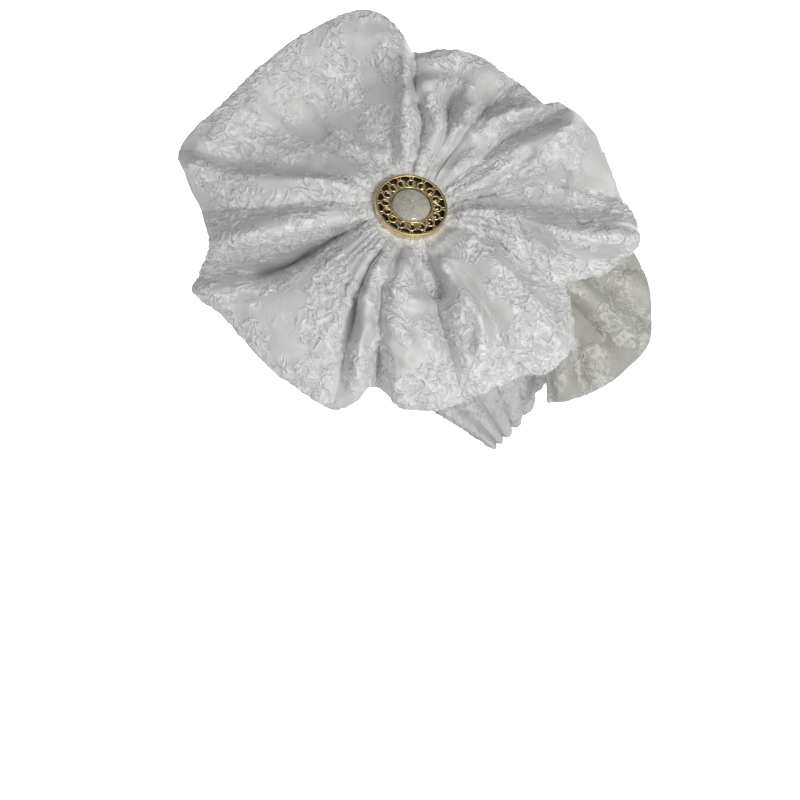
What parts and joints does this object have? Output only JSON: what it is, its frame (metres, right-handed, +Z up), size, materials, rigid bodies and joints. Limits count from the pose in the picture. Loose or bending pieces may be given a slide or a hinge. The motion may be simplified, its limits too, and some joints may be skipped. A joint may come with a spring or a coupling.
{
  "type": "turban bonnet",
  "caption": "White crinkle cloth turban bonnet with a pleated cap, a large gathered flower on the left, a rear ruffle and a gold brooch with a milky stone",
  "frame": {"origin": "centre of the head opening, in the plane of its rim", "axes": "+Z up, -Y towards the face, +X to the wearer's left, where the flower sits"},
  "size_m": [0.1946, 0.284, 0.2685],
  "materials": {
    "crinkle_cloth": "white cloth with a raised crinkle, matt with a faint sheen",
    "antique_gold": "gold plate, polished on its edges and dark in its recesses",
    "milky_stone": "polished milky cabochon"
  },
  "bodies": {
    "root": {"cap": "crinkle_cloth", "flower": "crinkle_cloth", "rear_ruffle": "crinkle_cloth", "brooch_setting": "antique_gold", "brooch_stone": "milky_stone", "brooch_post": "antique_gold"}
  },
  "joints": []
}
